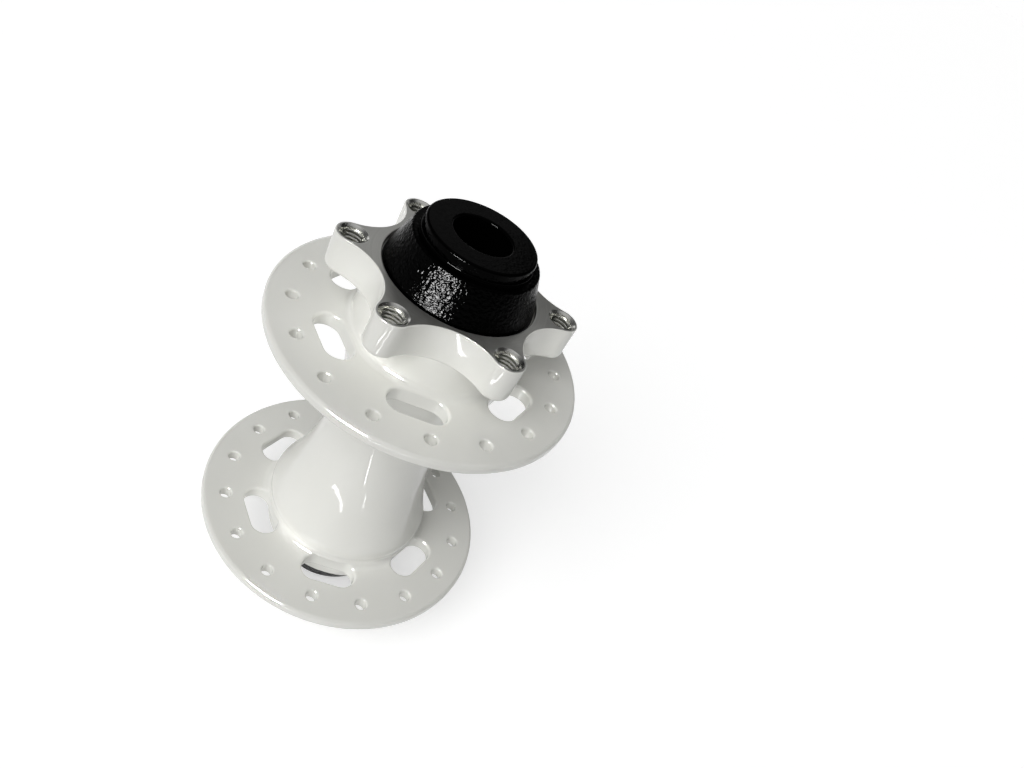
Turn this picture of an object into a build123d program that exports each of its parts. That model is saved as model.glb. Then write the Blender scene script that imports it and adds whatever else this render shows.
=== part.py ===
from build123d import *
from math import atan2, cos, degrees, radians, sin, sqrt
import os

# A front hub for a disc brake, in millimetres. It turns about Z, its disc side is up and its
# middle is the origin, so the two faces that meet the fork are at plus and minus half its width.

# Through axle and fork
fork_width = 100.0
through_bore_r = 6.05
fork_ring_r = 11.4

# Rotor mount: lobes with threaded holes, and a flat face that the rotor lies on
rotor_face_below_fork = 10.5
mount_thickness = 8.0
bolt_circle_r = 22.0
bolt_count = 6
bolt_hole_r = 2.5
bolt_sink = 0.5
lobe_r = 3.5
valley_r = 17.6
lobe_rounding = 1.0
paint_edge = 0.2

# Flanges
flange_r = 33.9
rim_thickness = 2.5
root_thickness = 3.6
rim_rounding = 0.85
disc_flange_below_rotor = 16.0
plain_flange_below_rotor = 72.5

# Spoke holes
spoke_count = 16
spoke_circle_r = 28.75
spoke_hole_r = 1.25
spoke_rounding = 0.45
spoke_phase = 6.85

# Slots between the spoke holes and the barrel
slot_count = 6
slot_circle_r = 21.35
slot_length = 12.3
slot_width = 6.1
slot_phase = 30.0
slot_rounding = 0.6
slot_overrun = 0.8

# Neck above the disc flange, collar below the plain one, and the waisted barrel between them
neck_r = 17.3
neck_fillet = 1.7
collar_r = 17.6
collar_fillet = 0.35
collar_rounding = 0.4
waist_r = 13.0
waist_z = -2.5
waist_curve_r = 62.0
swell_above_flange = 4.7
barrel_foot_r = 17.3
barrel_foot_fillet = 1.7
barrel_head_fillet = 0.8

# Cartridge bearings, 20 mm by 32 mm by 7 mm
bearing_bore_r = 10.0
bearing_outer_r = 16.0
bearing_width = 7.0
bearing_inner_end_z = 30.0
bearing_rounding = 0.3
ball_r = 1.75
ball_circle_r = 13.0
ball_count = 12
raceway_r = 1.80
inner_land_r = 12.1
outer_land_r = 13.9
cage_wall = 1.3
cage_half_width = 2.35
cage_pocket_r = 1.85
seal_thickness = 0.6
seal_inset = 0.1
seal_lip_gap = 0.06
seal_groove_depth = 0.35

# Axle tube
seat_play = 0.01
shoulder_r = 11.25
shoulder_width = 2.5
tube_waist_r = 9.4
tube_waist_taper = 2.0
tube_bore_r = 7.9
tube_bore_taper = 1.0
tube_short_of_race = 0.2

# Inside of the shell
shell_shoulder_r = 14.0
shell_shoulder_width = 2.5
shell_bore_r = 11.4
shell_bore_half_length = 12.0
mouth_r = 16.15
mouth_depth = 1.0
mouth_rounding = 0.3

# End caps, which slip into the tube and reach out to the fork
spigot_r = 8.85
spigot_length = 9.0
spigot_play = 0.05
spigot_end_room = 1.0
cap_nose_r = 11.8
cap_nose_length = 1.7
cap_skirt_r = 15.75
cap_skirt_above_rotor = 0.2
cap_cone_top_r = 13.1
cap_cone_top_above_rotor = 7.8
cap_rounding = 0.5
ring_rounding = 0.5
bore_rounding = 0.5

# Rubber rings in the end caps, and rubber seals round them
o_ring_r = 0.39
o_ring_groove_r = 8.1
o_ring_groove_width = 1.0
o_ring_from_nose = 5.0
o_ring_play = 0.01
dust_seal_thickness = 1.2
dust_seal_room = 0.1
dust_lip_r = 11.88
dust_lip_length = 1.5
dust_lip_thickness = 0.5

# Small roundings and how far a cutter runs past the face that it leaves
turned_edge = 0.2
soft_edge = 0.1
overrun = 1.0

# Heights worked out from the values above
fork_z = fork_width / 2
rotor_z = fork_z - rotor_face_below_fork
mount_under_z = rotor_z - mount_thickness
disc_flange_z = rotor_z - disc_flange_below_rotor
plain_flange_z = rotor_z - plain_flange_below_rotor
shell_end_z = -rotor_z
bearing_outer_end_z = bearing_inner_end_z + bearing_width
bearing_middle_z = bearing_inner_end_z + bearing_width / 2
tube_end_z = bearing_outer_end_z - tube_short_of_race
mouth_floor_z = rotor_z - mouth_depth
spigot_end_z = bearing_outer_end_z - spigot_length
o_ring_z = bearing_outer_end_z - o_ring_from_nose
cap_skirt_z = bearing_outer_end_z + cap_nose_length
cap_cone_z = rotor_z + cap_skirt_above_rotor
cap_cone_top_z = rotor_z + cap_cone_top_above_rotor


def turned(corners):
    # A ring turned about Z. Each corner is its distance from the axis, its height and its rounding.
    points = [(r, 0, z) for r, z, rounding in corners]
    roundings = [rounding for r, z, rounding in corners]
    return revolve(make_face(FilletPolyline(*points, radius=roundings, close=True)), Axis.Z)


def on_circle(circle_r, angle, height=0.0):
    return (circle_r * cos(radians(angle)), circle_r * sin(radians(angle)), height)


def around(count, first_angle=0.0):
    return [first_angle + i * 360 / count for i in range(count)]


def rings_at(solid, ring_r, height):
    # The circular edges of a turned solid that have this radius and height.
    def fits(edge):
        return abs(edge.radius - ring_r) < 0.01 and abs(edge.center().Z - height) < 0.01
    return solid.edges().filter_by(GeomType.CIRCLE).filter_by(fits)


# Shell

def barrel_r(height):
    # The barrel's waist is one large arc, from the disc flange to the swelling at the plain one.
    return waist_r + waist_curve_r - sqrt(waist_curve_r ** 2 - (height - waist_z) ** 2)


def shell_outside():
    # The outside without its lobes, holes and slots, as a solid of revolution.
    top_z = mount_under_z + mount_thickness / 2
    head_z = disc_flange_z - root_thickness
    head_r = barrel_r(head_z)
    swell_z = plain_flange_z + swell_above_flange
    swell_r = barrel_r(swell_z)
    swell_slope = (waist_z - swell_z) / (waist_curve_r + waist_r - swell_r)
    root_z = plain_flange_z - root_thickness
    neck = Polyline(
        (0, 0, top_z),
        (neck_r, 0, top_z),
        (neck_r, 0, disc_flange_z),
        (flange_r, 0, disc_flange_z),
        (flange_r, 0, disc_flange_z - rim_thickness),
        (head_r, 0, head_z),
    )
    waist = ThreePointArc((head_r, 0, head_z), (waist_r, 0, waist_z), (swell_r, 0, swell_z))
    foot = TangentArc((swell_r, 0, swell_z), (barrel_foot_r, 0, plain_flange_z), tangent=(swell_slope, 0, -1))
    collar = Polyline(
        (barrel_foot_r, 0, plain_flange_z),
        (flange_r, 0, plain_flange_z),
        (flange_r, 0, plain_flange_z - rim_thickness),
        (collar_r, 0, root_z),
        (collar_r, 0, shell_end_z),
        (0, 0, shell_end_z),
        (0, 0, top_z),
    )
    solid = revolve(make_face(neck + waist + foot + collar), Axis.Z)
    rims = ShapeList()
    for face_z in (disc_flange_z, plain_flange_z):
        rims += rings_at(solid, flange_r, face_z)
        rims += rings_at(solid, flange_r, face_z - rim_thickness)
    solid = fillet(rims, rim_rounding)
    solid = fillet(rings_at(solid, neck_r, disc_flange_z), neck_fillet)
    solid = fillet(rings_at(solid, head_r, head_z), barrel_head_fillet)
    solid = fillet(rings_at(solid, barrel_foot_r, plain_flange_z), barrel_foot_fillet)
    solid = fillet(rings_at(solid, collar_r, root_z), collar_fillet)
    return fillet(rings_at(solid, collar_r, shell_end_z), collar_rounding)


def rotor_mount():
    # Lobes round the bolt holes, joined by hollow arcs that touch them and reach in to the valleys.
    half_step = radians(180 / bolt_count)
    reach = bolt_circle_r * cos(half_step)
    hollow_r = (valley_r ** 2 + bolt_circle_r ** 2 - 2 * valley_r * reach - lobe_r ** 2) / (
        2 * (lobe_r + reach - valley_r))
    hollow_circle_r = valley_r + hollow_r
    across = hollow_circle_r * sin(half_step)
    along = hollow_circle_r * cos(half_step) - bolt_circle_r
    touch_x = bolt_circle_r + lobe_r * along / (lobe_r + hollow_r)
    touch_y = lobe_r * across / (lobe_r + hollow_r)
    touch_r = sqrt(touch_x ** 2 + touch_y ** 2)
    touch_angle = degrees(atan2(touch_y, touch_x))
    outline = Curve()
    for angle in around(bolt_count):
        lobe_start = on_circle(touch_r, angle - touch_angle)
        lobe_end = on_circle(touch_r, angle + touch_angle)
        next_start = on_circle(touch_r, angle + 360 / bolt_count - touch_angle)
        outline += ThreePointArc(lobe_start, on_circle(bolt_circle_r + lobe_r, angle), lobe_end)
        outline += ThreePointArc(lobe_end, on_circle(valley_r, angle + 180 / bolt_count), next_start)
    plate = Pos(0, 0, mount_under_z) * extrude(make_face(outline), mount_thickness)
    plate = fillet(plate.edges().group_by(Axis.Z)[0], lobe_rounding)
    return chamfer(plate.edges().group_by(Axis.Z)[-1], paint_edge)


def drill(hole_r, sink, low_z, high_z):
    # A drill on the Z axis that also sinks both ends of the hole.
    return turned([
        (0, low_z - overrun, 0),
        (hole_r + sink + overrun, low_z - overrun, 0),
        (hole_r, low_z + sink, 0),
        (hole_r, high_z - sink, 0),
        (hole_r + sink + overrun, high_z + overrun, 0),
        (0, high_z + overrun, 0),
    ])


def bolt_holes():
    bit = drill(bolt_hole_r, bolt_sink, mount_under_z, rotor_z)
    return [Pos(on_circle(bolt_circle_r, angle)) * bit for angle in around(bolt_count)]


def spoke_holes(upper_z, first_angle):
    # Cutters for the spoke holes of the flange whose flat upper face is at this height.
    bit = Cylinder(spoke_hole_r, 2 * root_thickness)
    return [Pos(on_circle(spoke_circle_r, angle, upper_z)) * bit for angle in around(spoke_count, first_angle)]


def slots(upper_z):
    # Cutters for the slots of the flange at this height, each slot across its own radius.
    low_z = upper_z - root_thickness - slot_overrun
    cutter = extrude(SlotOverall(slot_length, slot_width), root_thickness + 2 * slot_overrun)
    return [
        Pos(on_circle(slot_circle_r, angle, low_z)) * Rot(0, 0, angle + 90) * cutter
        for angle in around(slot_count, slot_phase)
    ]


def opening_edges(solid, upper_z, circle_r, half_width):
    # The edges round the slots or holes on this circle, on both faces of the flange at this height.
    def is_opening_edge(edge):
        middle = edge.position_at(0.5)
        from_circle = abs(sqrt(middle.X ** 2 + middle.Y ** 2) - circle_r)
        upright = abs(edge.tangent_at(0.5).Z) > 0.5
        in_flange = upper_z - root_thickness - slot_overrun < middle.Z < upper_z + slot_overrun
        return in_flange and not upright and from_circle < half_width + soft_edge
    return solid.edges().filter_by(is_opening_edge)


def shell_inside():
    # Mouths for the caps, seats and shoulders for the bearings, and the bore between them.
    half = [
        (mouth_r, rotor_z + overrun),
        (mouth_r, mouth_floor_z),
        (bearing_outer_r, mouth_floor_z),
        (bearing_outer_r, bearing_inner_end_z),
        (shell_shoulder_r, bearing_inner_end_z),
        (shell_shoulder_r, bearing_inner_end_z - shell_shoulder_width),
        (shell_bore_r, shell_bore_half_length),
    ]
    lower_half = [(r, -z) for r, z in reversed(half)]
    ends = [(0, shell_end_z - overrun), (0, rotor_z + overrun)]
    return turned([(r, z, 0) for r, z in half + lower_half + ends])


def hub_shell():
    solid = shell_outside() + rotor_mount() - shell_inside()
    mouths = rings_at(solid, mouth_r, rotor_z) + rings_at(solid, mouth_r, shell_end_z)
    solid = fillet(mouths, mouth_rounding)
    first_spokes = {disc_flange_z: spoke_phase, plain_flange_z: spoke_phase - 180 / spoke_count}
    for upper_z, first_spoke in first_spokes.items():
        solid -= slots(upper_z)
        solid = fillet(opening_edges(solid, upper_z, slot_circle_r, slot_width / 2), slot_rounding)
        solid -= spoke_holes(upper_z, first_spoke)
        solid = fillet(opening_edges(solid, upper_z, spoke_circle_r, spoke_hole_r), spoke_rounding)
    return solid - bolt_holes()


# Axle tube

def axle_tube():
    seat_r = bearing_bore_r - seat_play
    shoulder_z = bearing_inner_end_z - shoulder_width
    bored_r = spigot_r + spigot_play
    bored_z = spigot_end_z - spigot_end_room
    outside = [
        (bored_r, tube_end_z, turned_edge),
        (seat_r, tube_end_z, turned_edge),
        (seat_r, bearing_inner_end_z, 0),
        (shoulder_r, bearing_inner_end_z, turned_edge),
        (shoulder_r, shoulder_z, turned_edge),
        (tube_waist_r, shoulder_z - tube_waist_taper, tube_waist_taper / 2),
    ]
    inside = [
        (tube_bore_r, bored_z - tube_bore_taper, 0),
        (bored_r, bored_z, 0),
    ]
    lower_outside = [(r, -z, rounding) for r, z, rounding in reversed(outside)]
    lower_inside = [(r, -z, rounding) for r, z, rounding in reversed(inside)]
    return turned(outside + lower_outside + lower_inside + inside)


# Pieces of the disc side, which the plain side repeats upside down

def end_cap():
    # A spigot with a groove for its ring, a nose on the bearing, a skirt in the shell's mouth,
    # the cone and the raised ring that the fork meets.
    groove_low_z = o_ring_z - o_ring_groove_width / 2
    groove_high_z = o_ring_z + o_ring_groove_width / 2
    return turned([
        (through_bore_r, spigot_end_z, bore_rounding),
        (spigot_r, spigot_end_z, turned_edge),
        (spigot_r, groove_low_z, 0),
        (o_ring_groove_r, groove_low_z, turned_edge),
        (o_ring_groove_r, groove_high_z, turned_edge),
        (spigot_r, groove_high_z, 0),
        (spigot_r, bearing_outer_end_z, 0),
        (cap_nose_r, bearing_outer_end_z, turned_edge),
        (cap_nose_r, cap_skirt_z, turned_edge),
        (cap_skirt_r, cap_skirt_z, turned_edge),
        (cap_skirt_r, cap_cone_z, cap_rounding),
        (cap_cone_top_r, cap_cone_top_z, cap_rounding),
        (fork_ring_r, cap_cone_top_z, ring_rounding),
        (fork_ring_r, fork_z, ring_rounding),
        (through_bore_r, fork_z, bore_rounding),
    ])


def cap_o_ring():
    return Pos(0, 0, o_ring_z) * Torus(o_ring_groove_r + o_ring_play + o_ring_r, o_ring_r)


def dust_seal():
    # A rubber washer in the mouth of the bearing seat, with a thin lip round the cap's nose.
    low_z = bearing_outer_end_z + dust_seal_room
    high_z = low_z + dust_seal_thickness
    lip_z = low_z + dust_seal_thickness / 2
    return turned([
        (bearing_outer_r - seat_play, low_z, soft_edge),
        (bearing_outer_r - seat_play, high_z, soft_edge),
        (dust_lip_r + dust_lip_length, high_z, turned_edge),
        (dust_lip_r, lip_z + dust_lip_thickness / 2, 0),
        (dust_lip_r, lip_z - dust_lip_thickness / 2, 0),
        (dust_lip_r + dust_lip_length, low_z, turned_edge),
    ])


def raceway():
    return Pos(0, 0, bearing_middle_z) * Torus(ball_circle_r, raceway_r)


def bearing_outer_race():
    groove_r = outer_land_r + seal_groove_depth
    groove_depth = seal_inset + seal_thickness
    ring = turned([
        (outer_land_r, bearing_inner_end_z + groove_depth, 0),
        (groove_r, bearing_inner_end_z + groove_depth, 0),
        (groove_r, bearing_inner_end_z, 0),
        (bearing_outer_r - seat_play, bearing_inner_end_z, bearing_rounding),
        (bearing_outer_r - seat_play, bearing_outer_end_z, bearing_rounding),
        (groove_r, bearing_outer_end_z, 0),
        (groove_r, bearing_outer_end_z - groove_depth, 0),
        (outer_land_r, bearing_outer_end_z - groove_depth, 0),
    ])
    return ring - raceway()


def bearing_inner_race():
    ring = turned([
        (bearing_bore_r, bearing_inner_end_z, bearing_rounding),
        (inner_land_r, bearing_inner_end_z, soft_edge),
        (inner_land_r, bearing_outer_end_z, soft_edge),
        (bearing_bore_r, bearing_outer_end_z, bearing_rounding),
    ])
    return ring - raceway()


def bearing_seal(low_z):
    # A seal is held in the outer race's groove, and its lip just clears the inner race.
    high_z = low_z + seal_thickness
    return turned([
        (inner_land_r + seal_lip_gap, low_z, soft_edge),
        (outer_land_r + seal_groove_depth, low_z, 0),
        (outer_land_r + seal_groove_depth, high_z, 0),
        (inner_land_r + seal_lip_gap, high_z, soft_edge),
    ])


def bearing_outer_seal():
    return bearing_seal(bearing_outer_end_z - seal_inset - seal_thickness)


def bearing_inner_seal():
    return bearing_seal(bearing_inner_end_z + seal_inset)


def bearing_balls():
    balls = [
        Pos(on_circle(ball_circle_r, angle, bearing_middle_z)) * Sphere(ball_r)
        for angle in around(ball_count)
    ]
    return Compound(children=balls)


def bearing_cage():
    # A nylon ring with a round pocket drilled through its wall for each ball.
    inner_r = ball_circle_r - cage_wall / 2
    outer_r = ball_circle_r + cage_wall / 2
    ring = turned([
        (inner_r, bearing_middle_z - cage_half_width, soft_edge),
        (outer_r, bearing_middle_z - cage_half_width, soft_edge),
        (outer_r, bearing_middle_z + cage_half_width, soft_edge),
        (inner_r, bearing_middle_z + cage_half_width, soft_edge),
    ])
    bit = Pos(ball_circle_r, 0, bearing_middle_z) * Rot(0, 90, 0) * Cylinder(cage_pocket_r, 2 * cage_wall)
    return ring - [Rot(0, 0, angle) * bit for angle in around(ball_count)]


paired_pieces = {
    "end_cap": end_cap,
    "cap_o_ring": cap_o_ring,
    "dust_seal": dust_seal,
    "bearing_outer_race": bearing_outer_race,
    "bearing_inner_race": bearing_inner_race,
    "bearing_balls": bearing_balls,
    "bearing_cage": bearing_cage,
    "bearing_outer_seal": bearing_outer_seal,
    "bearing_inner_seal": bearing_inner_seal,
}

os.makedirs("parts", exist_ok=True)
export_step(hub_shell(), "parts/hub_shell.step")
export_step(axle_tube(), "parts/axle_tube.step")
for piece, make in paired_pieces.items():
    export_step(make(), "parts/disc_" + piece + ".step")
    export_step(mirror(make(), Plane.XY), "parts/plain_" + piece + ".step")
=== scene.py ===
import math

import bpy
from mathutils import Matrix, Quaternion, Vector


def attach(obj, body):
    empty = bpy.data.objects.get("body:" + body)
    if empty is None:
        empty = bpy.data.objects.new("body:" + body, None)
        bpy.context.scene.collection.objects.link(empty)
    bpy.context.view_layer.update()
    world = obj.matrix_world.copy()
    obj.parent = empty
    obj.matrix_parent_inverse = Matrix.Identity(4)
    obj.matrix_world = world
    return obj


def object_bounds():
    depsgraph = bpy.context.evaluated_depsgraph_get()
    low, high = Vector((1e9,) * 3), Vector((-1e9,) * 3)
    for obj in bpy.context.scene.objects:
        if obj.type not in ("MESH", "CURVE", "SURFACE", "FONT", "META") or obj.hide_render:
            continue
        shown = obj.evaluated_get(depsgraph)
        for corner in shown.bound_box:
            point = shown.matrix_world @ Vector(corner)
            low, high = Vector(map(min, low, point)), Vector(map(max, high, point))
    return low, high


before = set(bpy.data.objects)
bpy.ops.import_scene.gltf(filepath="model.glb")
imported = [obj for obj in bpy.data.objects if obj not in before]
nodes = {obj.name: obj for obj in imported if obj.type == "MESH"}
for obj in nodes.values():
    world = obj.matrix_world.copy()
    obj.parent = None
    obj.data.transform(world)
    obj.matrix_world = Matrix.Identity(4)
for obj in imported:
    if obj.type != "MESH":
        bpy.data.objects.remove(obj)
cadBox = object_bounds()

print("frame loaded:", len(nodes), "pieces")


class Signal:
    # a socket whose value changes over a surface; working with it adds Math nodes
    def __init__(self, shader, socket):
        self.shader = shader
        self.socket = socket

    def other(self, output):
        # another output of the same node
        return Signal(self.shader, self.socket.node.outputs[output])

    def __add__(self, value):
        return self.shader.maths("ADD", self, value)

    def __radd__(self, value):
        return self.shader.maths("ADD", value, self)

    def __sub__(self, value):
        return self.shader.maths("SUBTRACT", self, value)

    def __rsub__(self, value):
        return self.shader.maths("SUBTRACT", value, self)

    def __mul__(self, value):
        return self.shader.maths("MULTIPLY", self, value)

    def __rmul__(self, value):
        return self.shader.maths("MULTIPLY", value, self)

    def __pow__(self, value):
        return self.shader.maths("POWER", self, value)

    def __abs__(self):
        return self.shader.maths("ABSOLUTE", self)


class Shader:
    # the nodes of one material, or of the world
    def __init__(self, owner):
        self.owner = owner
        owner.use_nodes = True
        self.tree = owner.node_tree
        self.tree.nodes.clear()

    def node(self, kind, settings, inputs, output=0):
        made = self.tree.nodes.new("ShaderNode" + kind)
        for name, value in settings.items():
            setattr(made, name, value)
        for name, value in inputs.items():
            if isinstance(value, Signal):
                self.tree.links.new(value.socket, made.inputs[name])
            else:
                made.inputs[name].default_value = value
        return Signal(self, made.outputs[output]) if made.outputs else None

    def maths(self, operation, *values):
        return self.node("Math", {"operation": operation}, dict(enumerate(values)))

    def rise(self, value, low, high):
        # 0 below low, 1 above high, and a soft step between them
        return self.node("MapRange", {"interpolation_type": "SMOOTHSTEP"}, {
            "Value": value, "From Min": low, "From Max": high})

    def blend(self, mask, first, second):
        return self.node("Mix", {"data_type": "RGBA"}, {0: mask, 6: first, 7: second}, 2)

    def millimetres(self):
        # the point's place on the hub
        place = self.node("TexCoord", {}, {}, "Object")
        return self.node("VectorMath", {"operation": "SCALE"}, {0: place, "Scale": 1000})

    def alongAxis(self, place):
        return self.node("SeparateXYZ", {}, {0: place}, "Z")

    def fromAxis(self, place):
        # how far a place is from the hub's axis
        x = self.node("SeparateXYZ", {}, {0: place}, "X")
        y = x.other("Y")
        return (x * x + y * y) ** 0.5

    def grain(self, place, size, detail=2.0):
        # smooth noise between 0 and 1, its lumps about as far apart as size
        return self.node("TexNoise", {"noise_dimensions": "3D"}, {
            "Vector": place, "Scale": 1 / size, "Detail": detail})

    def grooves(self, distance, pitch):
        # noise that changes only along one distance, as a cutting tool's marks do
        return self.node("TexNoise", {"noise_dimensions": "1D"}, {
            "W": distance, "Scale": 1 / pitch, "Detail": 3.0, "Roughness": 0.7})

    def bumps(self, height):
        # heights are in millimetres
        return self.node("Bump", {}, {"Strength": 1.0, "Distance": 0.001, "Height": height})

    def surface(self, inputs):
        skin = self.node("BsdfPrincipled", {}, inputs)
        self.node("OutputMaterial", {}, {"Surface": skin})
        return self.owner


def grey(level, warmth=0.0):
    return (level, level, level * (1 - warmth), 1)


# Finishes, all sizes in millimetres

hubSizes = {
    "rotorFace": 39.5,
    "mountUnderside": 31.5,
    "boltCircle": 22.0,
    "boltCount": 6,
}
paint = {
    "colour": grey(0.81, 0.045),
    "colourDeep": grey(0.75, 0.06),
    "depthSize": 14.0,
    "roughness": 0.05,
    "roughnessSpread": 0.03,
    "peelSize": 1.9,
    "peelHeight": 0.006,
    "speckSize": 0.35,
    "speckHeight": 0.01,
    "speckRise": (0.86, 0.9),
    "edgeRaggedness": 0.05,
    "edgeGrain": 0.6,
}
bareMetal = {
    "colour": grey(0.60, 0.04),
    "colourDark": grey(0.44, 0.06),
    # painted light: the bolt holes and their sunk ends get a brighter metal colour than the faced metal,
    # standing in for light in them
    "colourHolesPaintedLit": grey(0.88, 0.04),
    "cloudSize": 5.0,
    "cloudShare": 0.4,
    "roughness": 0.33,
    "roughnessSpread": 0.12,
    "drilledGloss": 0.15,
    "ringPitch": 0.35,
    "ringHeight": 0.026,
}
# where the paint ends; each pair is the start and the end of a soft edge
bareEdges = {
    "faceHeight": (hubSizes["rotorFace"] - 0.05, hubSizes["rotorFace"] - 0.02),
    "seatHeight": (29.0, 29.1),
    "seatRadius": (16.45, 16.55),
    "holeHeight": (hubSizes["mountUnderside"] - 0.5, hubSizes["mountUnderside"] - 0.3),
    "holeRadius": (3.0, 3.06),
}


def fromBolts(shader, place):
    # how far a place is from the nearest bolt hole's axis
    step = 2 * math.pi / hubSizes["boltCount"]
    x = shader.node("SeparateXYZ", {}, {0: place}, "X")
    angle = shader.maths("ARCTAN2", x.other("Y"), x)
    fold = shader.maths("PINGPONG", angle, step / 2)
    fromAxis = shader.fromAxis(place)
    along = shader.maths("COSINE", fold) * fromAxis - hubSizes["boltCircle"]
    across = shader.maths("SINE", fold) * fromAxis
    return (along * along + across * across) ** 0.5


def shellPaint():
    shader = Shader(bpy.data.materials.new("shellPaint"))
    place = shader.millimetres()
    z = shader.alongAxis(place)
    fromAxis = shader.fromAxis(place)

    # bare are both end faces, the bearing seats and the bolt holes with their sunk ends
    ragged = (shader.grain(place, paint["edgeGrain"]) - 0.5) * paint["edgeRaggedness"]
    face = shader.rise(abs(z) + ragged, *bareEdges["faceHeight"])
    beyondSeat = shader.rise(fromAxis, *bareEdges["seatRadius"])
    seat = shader.rise(abs(z), *bareEdges["seatHeight"]) * (1 - beyondSeat)
    beyondHole = shader.rise(fromBolts(shader, place) + ragged, *bareEdges["holeRadius"])
    drilled = shader.rise(z, *bareEdges["holeHeight"]) * (1 - beyondHole)
    bare = 1 - (1 - face) * (1 - seat) * (1 - drilled)

    # paint: slow unevenness of its thickness, a soft orange peel and a few specks of dust
    depth = shader.grain(place, paint["depthSize"])
    peel = shader.grain(place, paint["peelSize"], 1.0)
    speck = shader.rise(shader.grain(place, paint["speckSize"], 0.0), *paint["speckRise"])
    painted = shader.blend(depth, paint["colour"], paint["colourDeep"])
    paintHeight = peel * paint["peelHeight"] + speck * paint["speckHeight"]
    paintRoughness = paint["roughness"] + (depth - 0.5) * paint["roughnessSpread"]

    # metal: rings left by the facing cut, and painted light in the bolt holes, whose metal is coloured
    # brighter than the faced metal so that they read as lit
    rings = shader.grooves(fromAxis, bareMetal["ringPitch"])
    cloud = shader.grain(place, bareMetal["cloudSize"])
    mottle = rings * (1 - bareMetal["cloudShare"]) + cloud * bareMetal["cloudShare"]
    machined = shader.blend(mottle, bareMetal["colourDark"], bareMetal["colour"])
    machined = shader.blend(drilled, machined, bareMetal["colourHolesPaintedLit"])
    metalRoughness = bareMetal["roughness"] + (cloud - 0.5) * bareMetal["roughnessSpread"]
    metalRoughness = metalRoughness - drilled * bareMetal["drilledGloss"]

    return shader.surface({
        "Base Color": shader.blend(bare, painted, machined),
        "Metallic": bare,
        "Roughness": paintRoughness * (1 - bare) + metalRoughness * bare,
        "Normal": shader.bumps(paintHeight * (1 - bare) + rings * bareMetal["ringHeight"] * bare),
    })


coating = {
    "colour": grey(0.0004),
    "specular": 0.018,
    "roughness": 0.07,
    "roughnessSpread": 0.10,
    "patchSize": 3.0,
    "bubbleSize": 0.62,
    "bubbleHeight": 0.20,
    "endFaces": (47.2, 47.4),
    "endFlatness": 0.7,
    "turningPitch": 0.30,
    "turningHeight": 0.012,
    "dustColour": grey(0.006),
    "dustCover": 0.4,
    "dustRoughness": 0.2,
    "dustSize": 0.3,
    "dustRise": (0.84, 0.9),
}


def capCoating():
    # bubbly on the cone, and flatter with turned rings on the end faces
    shader = Shader(bpy.data.materials.new("capCoating"))
    place = shader.millimetres()
    onEnd = shader.rise(abs(shader.alongAxis(place)), *coating["endFaces"])
    bubbles = shader.grain(place, coating["bubbleSize"], 1.0)
    patches = shader.grain(place, coating["patchSize"], 1.0)
    turning = shader.grooves(shader.fromAxis(place), coating["turningPitch"])
    dust = shader.rise(shader.grain(place, coating["dustSize"], 0.0), *coating["dustRise"])
    cone = bubbles * (1 - onEnd * coating["endFlatness"]) * coating["bubbleHeight"]
    uneven = (patches - 0.5) * coating["roughnessSpread"]
    return shader.surface({
        "Base Color": shader.blend(dust * coating["dustCover"], coating["colour"], coating["dustColour"]),
        "Roughness": coating["roughness"] + uneven + dust * coating["dustRoughness"],
        "Specular IOR Level": coating["specular"],
        "Normal": shader.bumps(cone + turning * onEnd * coating["turningHeight"]),
    })


turned = {
    "colour": grey(0.68, 0.03),
    "colourDark": grey(0.52, 0.03),
    "roughness": 0.24,
    "roughnessSpread": 0.12,
    "cloudSize": 4.0,
    "ringPitch": 0.35,
    "ringHeight": 0.0015,
}


def turnedAluminium():
    shader = Shader(bpy.data.materials.new("turnedAluminium"))
    place = shader.millimetres()
    rings = shader.grooves(shader.alongAxis(place) + shader.fromAxis(place), turned["ringPitch"])
    cloud = shader.grain(place, turned["cloudSize"])
    return shader.surface({
        "Base Color": shader.blend(rings * 0.5 + cloud * 0.5, turned["colourDark"], turned["colour"]),
        "Metallic": 1.0,
        "Roughness": turned["roughness"] + (cloud - 0.5) * turned["roughnessSpread"],
        "Normal": shader.bumps(rings * turned["ringHeight"]),
    })


ground = {
    "colour": grey(0.60, -0.02),
    "colourDark": grey(0.50, -0.03),
    "roughness": 0.16,
    "roughnessSpread": 0.08,
    "stainSize": 3.0,
    "linePitch": 0.08,
    "lineSlant": 0.7,
    "lineHeight": 0.0006,
}


def groundSteel():
    shader = Shader(bpy.data.materials.new("groundSteel"))
    place = shader.millimetres()
    distance = shader.fromAxis(place) + shader.alongAxis(place) * ground["lineSlant"]
    lines = shader.grooves(distance, ground["linePitch"])
    stain = shader.grain(place, ground["stainSize"])
    return shader.surface({
        "Base Color": shader.blend(stain, ground["colourDark"], ground["colour"]),
        "Metallic": 1.0,
        "Roughness": ground["roughness"] + lines * ground["roughnessSpread"],
        "Normal": shader.bumps(lines * ground["lineHeight"]),
    })


# clouds of colour and gloss, and fine pores; on the cut threads one fine chatter is both
rubber = {
    "colours": (grey(0.014), grey(0.032)),
    "metallic": 0.0,
    "roughness": 0.55,
    "roughnessSpread": 0.2,
    "cloudSize": 2.5,
    "poreSize": 0.15,
    "poreHeight": 0.004,
}
nylon = {
    "colours": ((0.72, 0.66, 0.52, 1), (0.80, 0.75, 0.62, 1)),
    "metallic": 0.0,
    "roughness": 0.38,
    "roughnessSpread": 0.12,
    "cloudSize": 2.0,
    "poreSize": 0.1,
    "poreHeight": 0.002,
}
cutMetal = {
    "colours": (grey(0.80, 0.05), grey(0.95, 0.05)),
    "metallic": 1.0,
    "roughness": 0.14,
    "roughnessSpread": 0.10,
    "cloudSize": 0.12,
    "poreSize": 0.12,
    "poreHeight": 0.002,
}


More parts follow.
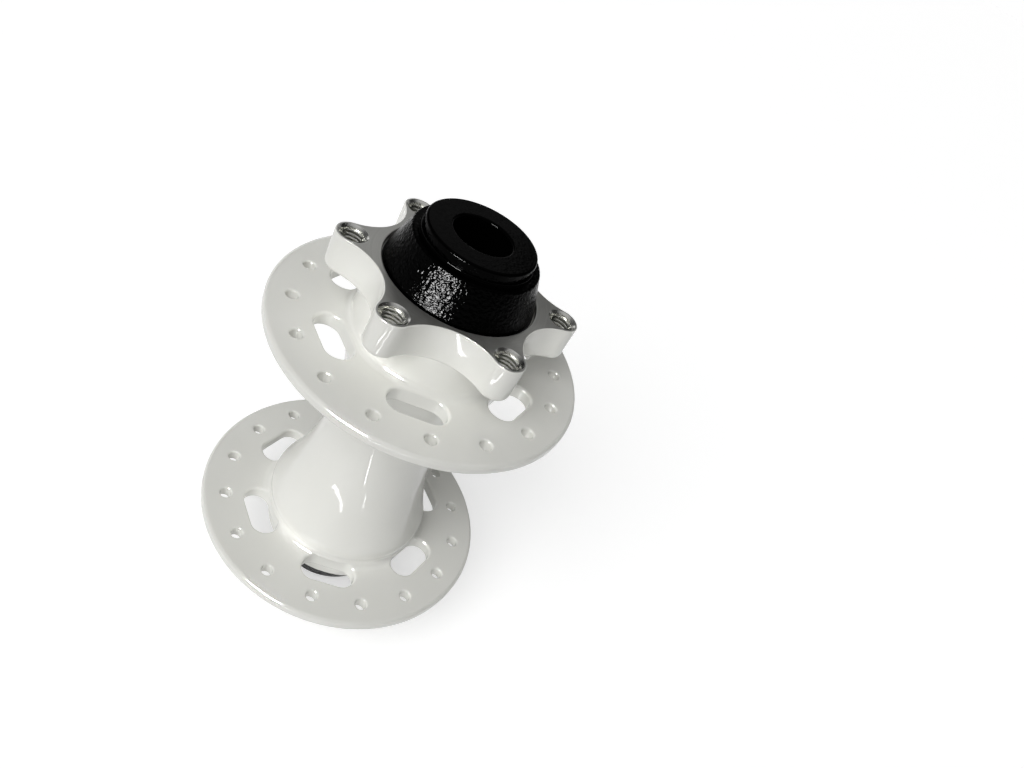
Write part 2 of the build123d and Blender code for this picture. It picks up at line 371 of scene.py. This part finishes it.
def cloudedFinish(name, look):
    shader = Shader(bpy.data.materials.new(name))
    place = shader.millimetres()
    cloud = shader.grain(place, look["cloudSize"])
    pores = shader.grain(place, look["poreSize"])
    return shader.surface({
        "Base Color": shader.blend(cloud, *look["colours"]),
        "Metallic": look["metallic"],
        "Roughness": look["roughness"] + cloud * look["roughnessSpread"],
        "Normal": shader.bumps(pores * look["poreHeight"]),
    })


finishes = {
    "shell_paint": shellPaint(),
    "cap_coating": capCoating(),
    "bare_aluminium": turnedAluminium(),
    "bearing_steel": groundSteel(),
    "seal_rubber": cloudedFinish("mouldedRubber", rubber),
    "cage_nylon": cloudedFinish("mouldedNylon", nylon),
}
for node in nodes.values():
    for slot in node.material_slots:
        slot.material = finishes[slot.material.name.split(".")[0]]
print("finishes made:", ", ".join(finishes))


# Threads in the rotor's bolt holes, sizes in metres and the angle in degrees

thread = {
    "top": hubSizes["rotorFace"] / 1000,
    "bottom": hubSizes["mountUnderside"] / 1000,
    "pitch": 0.0008,
    "root": 0.00253,
    "crest": 0.00208,
    "rootWidth": 0.00074,
    "crestWidth": 0.00012,
    "steps": 40,
    "sink": 0.00092,
    "plugMargin": 0.0004,
    "plugSides": 96,
    "smoothAngle": 35,
}


def onlyActive(piece):
    bpy.ops.object.select_all(action="DESELECT")
    bpy.context.view_layer.objects.active = piece
    piece.select_set(True)


def applyModifier(piece, kind, **settings):
    onlyActive(piece)
    modifier = piece.modifiers.new(kind.lower(), kind)
    for name, value in settings.items():
        setattr(modifier, name, value)
    bpy.ops.object.modifier_apply(modifier=modifier.name)


def threadPlug():
    # the space of one bolt hole, bevelled at both ends, which trims the thread's ends
    bpy.ops.mesh.primitive_cylinder_add(
        vertices=thread["plugSides"], radius=thread["root"] + thread["plugMargin"],
        depth=thread["top"] - thread["bottom"], location=(0, 0, (thread["top"] + thread["bottom"]) / 2))
    plug = bpy.context.active_object
    bpy.ops.object.transform_apply(location=True)
    bpy.ops.object.mode_set(mode="EDIT")
    bpy.ops.mesh.select_all(action="DESELECT")
    bpy.ops.mesh.select_mode(type="FACE")
    bpy.ops.object.mode_set(mode="OBJECT")
    for face in plug.data.polygons:
        face.select = abs(face.normal.z) > 0.9
    bpy.ops.object.mode_set(mode="EDIT")
    bpy.ops.mesh.bevel(offset=thread["sink"], segments=1, affect="EDGES")
    bpy.ops.object.mode_set(mode="OBJECT")
    return plug


def boltThread():
    # a ridge wound up the hole from half a turn below it, and cut back to the plug
    turns = math.ceil((thread["top"] - thread["bottom"]) / thread["pitch"]) + 1
    start = thread["bottom"] - thread["pitch"] / 2
    middle = (thread["root"] + thread["crest"]) / 2
    bpy.ops.mesh.primitive_plane_add(
        size=thread["root"] - thread["crest"], rotation=(math.pi / 2, 0, 0), location=(middle, 0, start))
    ridge = bpy.context.active_object
    bpy.ops.object.transform_apply(location=True, rotation=True)
    for corner in ridge.data.vertices:
        width = thread["crestWidth"] if corner.co.x < middle else thread["rootWidth"]
        corner.co.z = start + math.copysign(width / 2, corner.co.z - start)
    bpy.ops.object.mode_set(mode="EDIT")
    bpy.ops.mesh.delete(type="ONLY_FACE")
    bpy.ops.object.mode_set(mode="OBJECT")
    applyModifier(
        ridge, "SCREW", axis="Z", angle=2 * math.pi, screw_offset=thread["pitch"],
        iterations=turns, steps=thread["steps"], render_steps=thread["steps"])
    bpy.ops.object.mode_set(mode="EDIT")
    bpy.ops.mesh.select_all(action="SELECT")
    bpy.ops.mesh.remove_doubles(threshold=0.000001)
    bpy.ops.mesh.select_all(action="SELECT")
    bpy.ops.mesh.fill_holes(sides=4)
    bpy.ops.mesh.select_all(action="SELECT")
    bpy.ops.mesh.normals_make_consistent(inside=False)
    bpy.ops.object.mode_set(mode="OBJECT")
    plug = threadPlug()
    applyModifier(ridge, "BOOLEAN", operation="INTERSECT", solver="EXACT", object=plug)
    bpy.data.objects.remove(plug)
    onlyActive(ridge)
    bpy.ops.object.shade_smooth_by_angle(angle=math.radians(thread["smoothAngle"]))
    return ridge


def addThreads():
    first = boltThread()
    first.data.materials.clear()
    first.data.materials.append(cloudedFinish("cutThread", cutMetal))
    threads = [first]
    for i in range(1, hubSizes["boltCount"]):
        piece = first.copy()
        piece.data = first.data.copy()
        bpy.context.scene.collection.objects.link(piece)
        threads.append(piece)
    circle = hubSizes["boltCircle"] / 1000
    for i, piece in enumerate(threads):
        angle = 2 * math.pi * i / hubSizes["boltCount"]
        piece.name = "rotor_thread_" + str(i + 1)
        piece.location = (circle * math.cos(angle), circle * math.sin(angle), 0)
        onlyActive(piece)
        bpy.ops.object.transform_apply(location=True)
        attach(piece, "shell")


addThreads()
print("threads cut in", hubSizes["boltCount"], "bolt holes")


# Floor, room, lamps and camera, sizes in metres and angles in degrees

floor = {
    "size": 40.0,
    "colour": grey(0.78),
    "roughness": 0.8,
    "specular": 0.1,
    "lift": 0.50,
}


def addFloor():
    # white to the camera and in gloss, where the lift is added, and it keeps the hub's shadow
    bpy.ops.mesh.primitive_plane_add(size=floor["size"], location=(0, 0, cadBox[0].z))
    plane = bpy.context.active_object
    plane.name = "floor"
    shader = Shader(bpy.data.materials.new("floorWhite"))
    rays = shader.node("LightPath", {}, {}, "Is Camera Ray")
    seen = shader.maths("MAXIMUM", rays, rays.other("Is Glossy Ray"))
    seen = shader.maths("MAXIMUM", seen, rays.other("Is Transmission Ray"))
    shader.surface({
        "Base Color": floor["colour"],
        "Roughness": floor["roughness"],
        "Specular IOR Level": floor["specular"],
        "Emission Color": shader.blend(seen, grey(0.0), grey(1.0)),
        "Emission Strength": floor["lift"],
    })
    plane.data.materials.append(shader.owner)


# wallsEnd and ceilingStart are sines of the angle above the floor, and darkSide of the angle towards +X
room = {
    "walls": grey(0.92),
    "wallsEnd": (0.06, 0.34),
    "band": grey(0.08),
    "ceiling": grey(0.40),
    "ceilingStart": (0.66, 0.86),
    "darkSide": (-0.1, 0.7),
    "darkening": 0.65,
}


def addRoom():
    # pale walls and a dim band above them, both darker towards +X, and a grey ceiling;
    # the camera sees plain white
    shader = Shader(bpy.context.scene.world or bpy.data.worlds.new("room"))
    bpy.context.scene.world = shader.owner
    direction = shader.node("TexCoord", {}, {}, "Generated")
    up = shader.alongAxis(direction)
    side = up.other("X")
    lower = shader.blend(shader.rise(up, *room["wallsEnd"]), room["walls"], room["band"])
    dark = shader.rise(side, *room["darkSide"]) * room["darkening"]
    lower = shader.blend(dark, lower, grey(0.0))
    colour = shader.blend(shader.rise(up, *room["ceilingStart"]), lower, room["ceiling"])
    seen = shader.node("LightPath", {}, {}, "Is Camera Ray")
    colour = shader.blend(seen, colour, grey(1.0))
    light = shader.node("Background", {}, {"Color": colour, "Strength": 1.0})
    shader.node("OutputWorld", {}, {"Surface": light})


suns = {
    "sky": {"azimuth": 0, "elevation": 90, "spread": 180, "strength": 0.08},
    "daylight": {"azimuth": 218, "elevation": 40, "spread": 40, "strength": 0.54},
}
panels = {
    "window": {
        "azimuth": 208.6,
        "elevation": 18.7,
        "distance": 0.183,
        "width": 0.075,
        "height": 0.036,
        "brightness": 400.0,
    },
    "farCard": {
        "azimuth": 4,
        "elevation": 36,
        "distance": 0.9,
        "width": 0.30,
        "height": 0.34,
        "brightness": 0.42,
    },
}
stripBrightness = 22.0
strips = {
    "lobeStrip": {"start": (-0.0139, -0.0629, 0.0073), "end": (-0.026, -0.0575, 0.0050), "width": 0.0014},
    "valleyStrip": {"start": (0.0075, -0.0652, 0.0076), "end": (-0.017, -0.0527, 0.0055), "width": 0.0012},
    "leftStrip": {"start": (-0.049, -0.064, -0.048), "end": (-0.014, -0.099, -0.048), "width": 0.0010},
    "middleStrip": {"start": (-0.006, -0.056, -0.048), "end": (0.005, -0.071, -0.048), "width": 0.0008},
    "lowStrip": {"start": (0.018, -0.075, -0.048), "end": (0.026, -0.083, -0.048), "width": 0.0007},
}


def addLamp(name, kind, place, turn):
    bpy.ops.object.light_add(type=kind, location=place)
    light = bpy.context.active_object
    light.name = name
    light.rotation_mode = "QUATERNION"
    light.rotation_quaternion = turn
    return light


def towards(lamp):
    # azimuth 0 is along +Y and 90 along +X, as on a compass
    azimuth = math.radians(lamp["azimuth"])
    elevation = math.radians(lamp["elevation"])
    return Vector((
        math.sin(azimuth) * math.cos(elevation),
        math.cos(azimuth) * math.cos(elevation),
        math.sin(elevation)))


def addSun(name, sun):
    # soft light for pale surfaces that doesn't show in glossy ones; at strength 1 a white
    # surface that faces it is white
    direction = towards(sun)
    light = addLamp(name, "SUN", direction, direction.to_track_quat("Z", "Y"))
    light.data.angle = math.radians(sun["spread"])
    light.data.energy = sun["strength"] * math.pi
    light.visible_glossy = False


def shapeGlint(light, width, height, brightness):
    # a bright oblong that only shows in glossy surfaces
    light.data.shape = "RECTANGLE"
    light.data.size = width
    light.data.size_y = height
    light.data.energy = brightness * math.pi * width * height
    light.visible_camera = False
    light.visible_diffuse = False


def addPanel(name, panel):
    direction = towards(panel)
    light = addLamp(name, "AREA", direction * panel["distance"], direction.to_track_quat("Z", "Y"))
    shapeGlint(light, panel["width"], panel["height"], panel["brightness"])


def addStrip(name, strip):
    # it faces the hub's middle and draws a thin line down the glossy walls
    start = Vector(strip["start"])
    end = Vector(strip["end"])
    middle = (start + end) / 2
    along = (end - start).normalized()
    away = (middle - along * middle.dot(along)).normalized()
    turn = Matrix((along, away.cross(along), away)).transposed().to_quaternion()
    light = addLamp(name, "AREA", middle, turn)
    shapeGlint(light, (end - start).length, strip["width"], stripBrightness)


camera = {
    "place": (-0.02371, -0.13112, 0.12147),
    "forward": (0.2563, 0.7634, -0.5929),
    "roll": 32.43,
    "lens": 28.05,
    "sensor": 36,
    "near": 0.01,
}


def addCamera():
    bpy.ops.object.camera_add(location=camera["place"])
    eye = bpy.context.active_object
    eye.rotation_mode = "QUATERNION"
    aim = Vector(camera["forward"]).to_track_quat("-Z", "Y")
    eye.rotation_quaternion = aim @ Quaternion((0, 0, 1), math.radians(camera["roll"]))
    eye.data.sensor_width = camera["sensor"]
    eye.data.lens = camera["lens"]
    eye.data.clip_start = camera["near"]
    bpy.context.scene.camera = eye


addFloor()
addRoom()
for name, sun in suns.items():
    addSun(name, sun)
for name, panel in panels.items():
    addPanel(name, panel)
for name, strip in strips.items():
    addStrip(name, strip)
addCamera()
bpy.context.scene.view_settings.view_transform = "Standard"
print("floor, room, lamps and camera placed")
